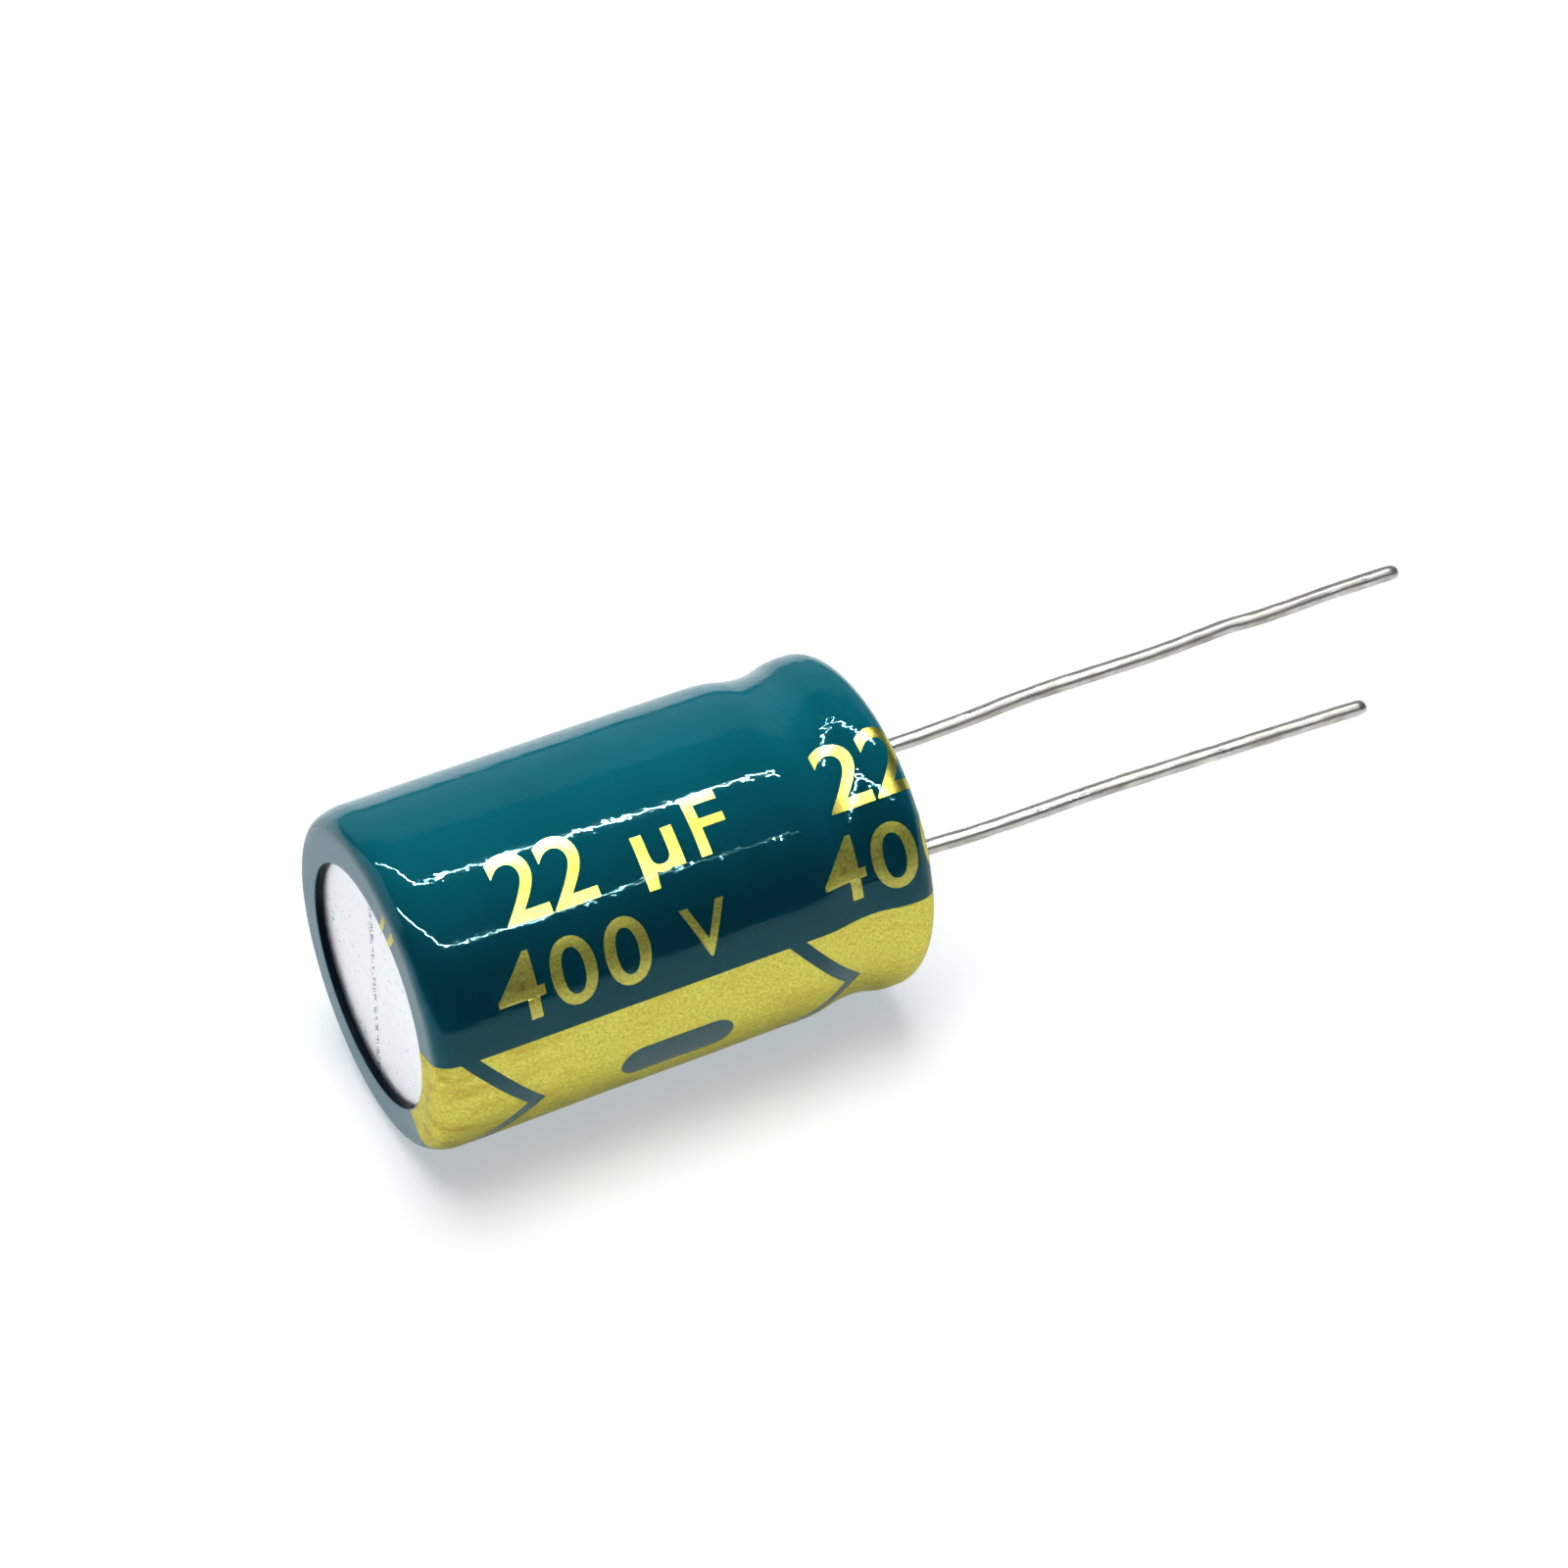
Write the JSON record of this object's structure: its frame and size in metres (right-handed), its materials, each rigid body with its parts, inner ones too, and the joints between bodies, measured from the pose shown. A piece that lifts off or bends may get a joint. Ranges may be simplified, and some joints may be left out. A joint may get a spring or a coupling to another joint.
{
  "type": "electrolytic capacitor",
  "caption": "Radial-lead aluminium electrolytic capacitor: sleeved can with a scored vent, rubber seal, wound element and two leads.",
  "frame": {"origin": "middle of the closed, vented end, on the plane that it stands on", "axes": "+Z along the body's axis, from the closed end out through the seal to the lead tips; +X from the axis towards the negative lead"},
  "size_m": [0.013, 0.013, 0.0457],
  "materials": {
    "sleeve": "glossy heat-shrunk film",
    "ink": "metallic ink",
    "can": "drawn, bright, lightly scratched",
    "seal": "matt",
    "wire": "tinned",
    "terminal": "bare",
    "anode": "etched, matt grey",
    "cathode": "etched",
    "paper": "soaked kraft paper",
    "tape": "adhesive tape"
  },
  "bodies": {
    "root": {"can": "can", "sleeve": "sleeve", "negative_stripe": "ink", "seal": "seal", "positive_lead": "wire", "negative_lead": "wire", "positive_tab": "terminal", "negative_tab": "terminal", "anode_foil": "anode", "cathode_foil": "cathode", "inner_paper": "paper", "outer_paper": "paper", "fixing_tape": "tape"}
  },
  "joints": []
}
